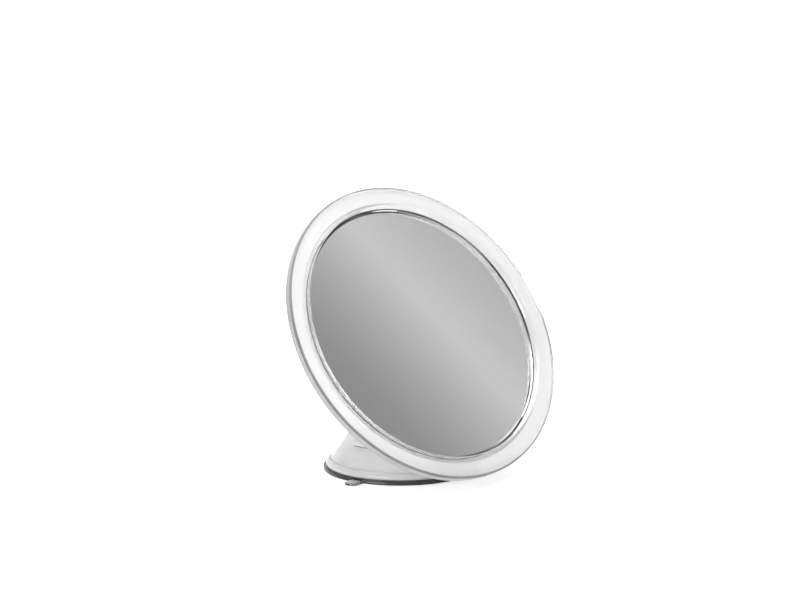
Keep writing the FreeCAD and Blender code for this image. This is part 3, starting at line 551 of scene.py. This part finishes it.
zinc = Finish("zinc_plate", Metallic=1.0)
bloom = zinc.noise(380, 5, 0.6)
drawn = zinc.noise(2400, 3, 0.6, (1, 1, 0.08))
zinc.feed(Base_Color=zinc.mix(bloom, (0.44, 0.45, 0.47), (0.62, 0.62, 0.61)),
          Roughness=0.2 + 0.2 * bloom + 0.12 * drawn)
zinc.bump(drawn, 0.1, 0.00006)
coat(zinc, "base_screw_1", "base_screw_2", "base_screw_3", "lever_pin", "stud_crossbar", "stud_nut",
     "swivel_plate", "swivel_screw", "seat_spring", "spin_plate", "spin_screw", "hub_screw_1",
     "hub_screw_2", "hub_screw_3")

acetal = Finish("natural_acetal", IOR=1.48, Subsurface_Weight=0.1,
                Subsurface_Radius=(0.001, 0.001, 0.001))
milky = acetal.noise(260, 4)
acetal.feed(Base_Color=acetal.mix(milky, (0.72, 0.71, 0.67), (0.8, 0.79, 0.76)),
            Roughness=0.3 + 0.14 * milky)
acetal.bump(acetal.noise(2100, 2), 0.08, 0.00006)
coat(acetal, "swivel_washer", "ball_seat", "friction_washer")

# ---------------------------------------------------------------------------------
# BALL SOCKET AND COLLAR
# A light grey socket swivels on the cone's roof; a fluted collar screws over the ball
# and sets the friction. Both are satin mouldings.
# ---------------------------------------------------------------------------------
PIVOT_Z = 0.0703
SOCKET_TIP = math.radians(30)
FLUTES, FLUTE_DEPTH, FLUTES_OUTSIDE = 30, 0.42, 11.5
collar_profile = np.concatenate([
    rounded([(10.6, -3.0, 0.2), (12.2, -3.0, 0.7), (12.2, 0.0)], 5)[:-1],
    np.array([(12.2, z) for z in (-1.8, -1.2, -0.6, 0.0, 0.6, 1.2, 1.8)]),
    arc_between((12.2, 2.0), (9.3, 8.13), 12.36, 14),
    rounded([(9.3, 7.6), (9.1, 7.3, 0.3), (5.98, 4.76, 0.12), (5.98, 4.5)], 3)[1:-1],
    arc_between((5.93, 4.69), (7.49, 1.0), -7.56, 12),
    [(10.6, 1.0)],
])


def grip_flutes(r, z, angle):
    """Rounded grooves: a cosine round the rim, faded out at both ends of the band."""
    wave = np.clip(np.cos(angle * FLUTES) * 0.5 + 0.5, 0, 1) ** 1.5
    band = np.clip((z + 2.7) / 0.6, 0, 1) * np.clip((3.4 - z) / 1.4, 0, 1) * (r > FLUTES_OUTSIDE)
    return FLUTE_DEPTH * wave * band


collar = turned("fluted_collar", collar_profile, 300, flutes=grip_flutes, lean=SOCKET_TIP,
                lift=PIVOT_Z)
satin_grey = Finish("satin_grey_plastic", IOR=1.49)
cloud = satin_grey.noise(110, 5)
grain = satin_grey.noise(6200, 2, 0.5)
satin_grey.feed(Base_Color=satin_grey.mix(satin_grey.ramp(cloud, 0.3, 0.7), (0.40, 0.41, 0.42),
                                          (0.47, 0.48, 0.49)),
                Roughness=0.26 + 0.1 * cloud + 0.1 * grain)
satin_grey.bump(grain, 0.16, 0.00007)
satin_grey.on(collar)
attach(collar, "turret")
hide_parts("socket_collar")
coat(satin_grey, "socket_cup", "pivot_hub")

# ---------------------------------------------------------------------------------
# BALL STUD
# Turned steel, polished and chromium plated: the ball, its stem, and the axle on which
# the mirror head spins.
# ---------------------------------------------------------------------------------
chrome = Finish("polished_chrome", Metallic=1.0)
smear = chrome.noise(130, 6, 0.62)
pits = chrome.ramp(chrome.noise(3800, 2), 0.68, 0.76)
chrome.feed(Base_Color=chrome.mix(smear, (0.72, 0.73, 0.75), (0.8, 0.8, 0.81)),
            Roughness=0.05 + 0.09 * smear + 0.2 * pits)
chrome.bump(pits, 0.05, 0.00004)
coat(chrome, "ball_stud")

# ---------------------------------------------------------------------------------
# BACK SHELL
# A shallow moulded dish that closes the back of the head, bonded under the rim's ledge.
# It has a fine moulded groove near its edge and a gloss face.
# ---------------------------------------------------------------------------------
LEAN = math.radians(59)
shell_profile = rounded([
    (9.2, 18.2, 0.3), (20, 18.2), (38, 18.2), (56, 18.2, 7), (62, 18.95, 6), (69.6, 19.2, 0.4),
    (69.9, 19.55, 0.3), (70.7, 19.55, 0.3), (71.0, 19.24, 0.4), (74.9, 19.45, 1.1),
    (76.5, 20.9, 0.8), (76.6, 21.28, 0.1), (61, 21.28, 0.3), (58, 20.2, 0.6), (9.2, 20.2, 0.3),
], 6)
back_shell = turned("back_dish", shell_profile, 256, lean=LEAN, lift=PIVOT_Z)
shell_gloss = Finish("shell_gloss", IOR=1.5, Coat_Weight=0.35, Coat_Roughness=0.06)
sink = shell_gloss.noise(18, 3)
fine = shell_gloss.ramp(shell_gloss.noise(1900, 4, 0.65, (1, 0.2, 1)), 0.62, 0.74)
shell_gloss.feed(Base_Color=shell_gloss.mix(sink, (0.50, 0.505, 0.51), (0.57, 0.575, 0.58)),
                 Roughness=0.17 + 0.08 * sink + 0.2 * fine)
shell_gloss.bump(sink + 0.03 * fine, 0.12, 0.0006)
shell_gloss.on(back_shell)
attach(back_shell, "head")
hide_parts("back_shell")

# ---------------------------------------------------------------------------------
# CLEAR RIM
# One clear acrylic moulding: a softly domed ring with a recess and a ledge for the
# glass. Its face is polished and its back carries a white satin skin. Its outer wall
# and corners are painted grey and dark as shade.
# ---------------------------------------------------------------------------------
rim_profile = np.concatenate([
    rounded([(62, 22.3), (62, 21.3, 0.3), (79.4, 21.3, 0.5), (79.4, 24.0, 0.7), (90, 24.0, 0.9),
             (90, 27.9, 0.2), (89.6, 28.15, 0.12), (89.1, 28.35, 0.15), (88.95, 28.97, 0.3),
             (87.0, 29.2)], 8)[1:-1],
    arc_between((88.3, 29.03), (78.5, 30.0), 56, 18),
    rounded([(78.6, 30.0), (77.5, 30.0, 0.6), (77.5, 22.3, 0.3), (62, 22.3, 0.3),
             (62, 21.5)], 8)[1:-1],
])
rim = turned("clear_rim", rim_profile, 384, lean=LEAN, lift=PIVOT_Z)
acrylic = Finish("polished_acrylic", IOR=1.491, Transmission_Weight=0.94)
SATIN, SATIN_ROUGHNESS = 0.88, 0.22
# distances in metres: the satin skin covers the back face as far as its corner, and the
# outer wall, the step at the front corner and the back corner are painted grey and dark as shade
from_axis, forward = acrylic.on_head(PIVOT_Z, LEAN)
frosted = acrylic.ramp(forward, 0.02440, 0.02425) * acrylic.ramp(from_axis, 0.0892, 0.0890)
ripple = acrylic.noise(34, 3)
scuff = acrylic.ramp(acrylic.noise(2300, 4, 0.7, (1, 0.25, 1)), 0.66, 0.78)
# painted shade: grey on the outer wall, nearly black at the step by the front corner and at the
# back corner
outer_wall_shade = acrylic.ramp(from_axis, 0.0893, 0.0899)
step = acrylic.ramp(from_axis, 0.0885, 0.0890) * acrylic.ramp(forward, 0.0279, 0.0280)
body = acrylic.mix(ripple, (0.94, 0.94, 0.942), (0.96, 0.96, 0.962))
back_corner_shade = acrylic.ramp(from_axis, 0.0891, 0.0893) * acrylic.ramp(forward, 0.0250, 0.0247)
# painted shade: the dark corners laid over the grey wall and the acrylic's own tint
edges = acrylic.node("ShaderNodeMath", {"operation": "MAXIMUM"}, {0: step, 1: back_corner_shade})
body_and_wall_shade = acrylic.mix(outer_wall_shade, body, (0.42, 0.42, 0.425))
acrylic.feed(Base_Color=acrylic.mix(edges, body_and_wall_shade, (0.12, 0.12, 0.124)),
             Roughness=0.012 + 0.015 * ripple + 0.05 * scuff + SATIN_ROUGHNESS * frosted)
acrylic.bump(ripple + 0.02 * scuff, 0.05, 0.0004)
acrylic.veil(frosted * SATIN, (1.0, 1.0, 1.0))
acrylic.on(rim)
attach(rim, "head")
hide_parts("acrylic_rim")

# ---------------------------------------------------------------------------------
# GLASS, SHADE RING, SILVER AND TAPE
# Flat float glass with a ground and polished bevel, silvered on its back and stuck to
# the ledge with a ring of white foam tape. A thin dark ring round its edge is painted shade.
# ---------------------------------------------------------------------------------
glass_profile = rounded([
    (0, 23.33), (30, 23.33), (60, 23.33), (77.0, 23.33, 0.15), (77.2, 24.5, 0.15),
    (75.8, 25.3), (60, 25.3), (30, 25.3), (0, 25.3),
], 4)
glass = turned("bevelled_glass", glass_profile, 320, closed=False, sharp=20, lean=LEAN,
               lift=PIVOT_Z)
float_glass = Finish("float_glass", IOR=1.52, Transmission_Weight=1.0)
film = float_glass.noise(24, 5, 0.6)
lint = float_glass.ramp(float_glass.noise(3300, 3), 0.7, 0.78)
float_glass.feed(Base_Color=float_glass.mix(film, (0.96, 0.96, 0.96), (0.975, 0.975, 0.975)),
                 Roughness=0.004 + 0.012 * film + 0.05 * lint)
float_glass.on(glass)
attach(glass, "head")
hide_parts("mirror_glass")

# painted shade: a thin dark ring laid round the glass's edge
edge_shade_ring = turned("glass_edge_shade_ring", rounded([
    (77.22, 23.5, 0.1), (77.53, 23.5, 0.1), (77.53, 25.1, 0.1), (77.22, 24.75, 0.1),
], 3), 320, lean=LEAN, lift=PIVOT_Z)
# painted shade: a near black finish for the ring at the glass's edge
edge_shade = Finish("painted_edge_shade", IOR=1.42)
edge_shade_mottle = edge_shade.noise(700, 4)
edge_shade.feed(Base_Color=edge_shade.mix(edge_shade_mottle, (0.018, 0.018, 0.019), (0.04, 0.04, 0.042)),
             Roughness=0.22 + 0.15 * edge_shade_mottle)
edge_shade.bump(edge_shade_mottle, 0.2, 0.00005)
edge_shade.on(edge_shade_ring)
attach(edge_shade_ring, "head")

silver = Finish("mirror_silver", Metallic=1.0)
drift = silver.noise(12, 4)
silver.feed(Base_Color=silver.mix(drift, (0.845, 0.845, 0.845), (0.87, 0.87, 0.87)),
            Roughness=0.012 + 0.014 * drift)
coat(silver, "silver_backing")

foam = Finish("foam_tape", IOR=1.4)
pores = foam.noise(4200, 4, 0.7)
foam.feed(Base_Color=foam.mix(foam.ramp(pores, 0.4, 0.65), (0.62, 0.62, 0.6), (0.84, 0.84, 0.82)),
          Roughness=0.8 + 0.12 * pores)
foam.bump(pores, 0.4, 0.0002)
coat(foam, "tape_ring")

# ---------------------------------------------------------------------------------
# STUDIO
# A plain white sweep under a bright overhead, with a white backdrop. The dark end of the
# room is behind the camera and an oval lamp stands to the left. The glass picks up a
# graded grey screen, up to the front right.
# ---------------------------------------------------------------------------------
FLOOR_HALF, FLOOR_ROWS, FLOOR_Z = 6.0, 25, -0.00002
spread = np.linspace(-FLOOR_HALF, FLOOR_HALF, FLOOR_ROWS)
floor_points = np.stack(np.broadcast_arrays(spread[:, None], spread[None, :], FLOOR_Z), -1)
floor = piece("floor", floor_points, grid_faces(FLOOR_ROWS, FLOOR_ROWS))
sweep = Finish("white_sweep", Specular_IOR_Level=0.25, Emission_Strength=0.30,
               Emission_Color=(1, 1, 1, 1))
paper = sweep.noise(3, 3)
sweep.feed(Base_Color=sweep.mix(paper, (0.93, 0.93, 0.93), (0.95, 0.95, 0.95)),
           Roughness=0.55 + 0.1 * paper)
sweep.on(floor)


class Surround(Finish):
    """The world's light, made from the direction that it comes from."""

    def __init__(self, name):
        self.world = bpy.data.worlds.new(name)
        bpy.context.scene.world = self.world
        self.world.use_nodes = True
        self.tree = self.world.node_tree
        self.shader = self.tree.nodes["Background"]
        self.place = self.node("ShaderNodeTexCoord", {}, {}, "Generated")

    def along(self, direction):
        """How far a ray points along a direction: the cosine between them."""
        return self.node("ShaderNodeVectorMath", {"operation": "DOT_PRODUCT"},
                         {0: self.place, 1: direction}, "Value")


def towards(azimuth, elevation):
    """The unit direction at this azimuth, counted from the front, and elevation."""
    a, e = math.radians(azimuth), math.radians(elevation)
    return (math.sin(a) * math.cos(e), -math.cos(a) * math.cos(e), math.sin(e))


SCREEN_AT, SCREEN_MIDDLE, SCREEN_HALF = (51.7, 36.2), 0.0025, 0.07
ACROSS_SCREEN = (0.6341, 0.7731, -0.0207)
BACKDROP_AT, DARK_END_AT, LAMP_AT = (141, 8), (-30, 12), (-74, 14)
room = Surround("studio")
across_screen = room.along(ACROSS_SCREEN) - SCREEN_MIDDLE
shades = ((0.0, 0.31), (0.12, 0.355), (0.38, 0.53), (0.62, 0.715), (0.86, 0.60), (1.0, 0.53))
grey = room.node("ShaderNodeValToRGB", {"stops": [(at, (shade,) * 3) for at, shade in shades]},
                 {0: room.ramp(across_screen, -SCREEN_HALF, SCREEN_HALF)})
near_screen = room.ramp(room.along(towards(*SCREEN_AT)), 0.965, 0.985)
backdrop = room.ramp(room.along(towards(*BACKDROP_AT)), 0.55, 0.78)
overhead = room.ramp(room.along((0, 0, 1)), 0.74, 0.9)
dark_end = room.ramp(room.along(towards(*DARK_END_AT)), 0.52, 0.74)
round_screen = room.ramp(room.along(towards(*SCREEN_AT)), 0.74, 0.86)
dim = room.mix(round_screen, (0.2, 0.2, 0.2), (0.06, 0.06, 0.06))
sides = room.mix(dark_end, dim, (0.07, 0.07, 0.07))
lit = room.mix(overhead, sides, (3.9, 3.9, 3.9))
open_room = room.mix(backdrop, lit, (1.12, 1.12, 1.12))
room.feed(Color=room.mix(near_screen, open_room, grey))

LAMP_DISTANCE = 1.1
lamp_data = bpy.data.lights.new("softbox", "AREA")
lamp_data.shape = "ELLIPSE"
lamp_data.size = 0.7
lamp_data.size_y = 0.5
lamp_data.energy = 11
lamp = bpy.data.objects.new("softbox", lamp_data)
towards_lamp = Vector(towards(*LAMP_AT))
lamp.location = towards_lamp * LAMP_DISTANCE
lamp.rotation_euler = towards_lamp.to_track_quat("Z", "Y").to_euler()
bpy.context.scene.collection.objects.link(lamp)

# ---------------------------------------------------------------------------------
# CAMERA
# A short telephoto at table height, a little above the object and to its left.
# ---------------------------------------------------------------------------------
CAMERA_AZIMUTH, CAMERA_ELEVATION, CAMERA_DISTANCE = -39.2, 13.5, 1.1060
PITCH_UP = math.radians(5.06)
camera_data = bpy.data.cameras.new("camera")
camera_data.lens = 85
camera_data.sensor_width = 36
camera_data.clip_start = 0.05
camera = bpy.data.objects.new("camera", camera_data)
azimuth = math.radians(CAMERA_AZIMUTH)
outwards = Vector(towards(CAMERA_AZIMUTH, CAMERA_ELEVATION))
rightwards = Vector((math.cos(azimuth), math.sin(azimuth), 0))
backwards = Matrix.Rotation(PITCH_UP, 3, rightwards) @ outwards
upwards = backwards.cross(rightwards)
facing = Matrix((rightwards, upwards, backwards)).transposed().to_4x4()
camera.matrix_world = Matrix.Translation(outwards * CAMERA_DISTANCE) @ facing
bpy.context.scene.collection.objects.link(camera)
bpy.context.scene.camera = camera
bpy.context.scene.view_settings.view_transform = "Standard"
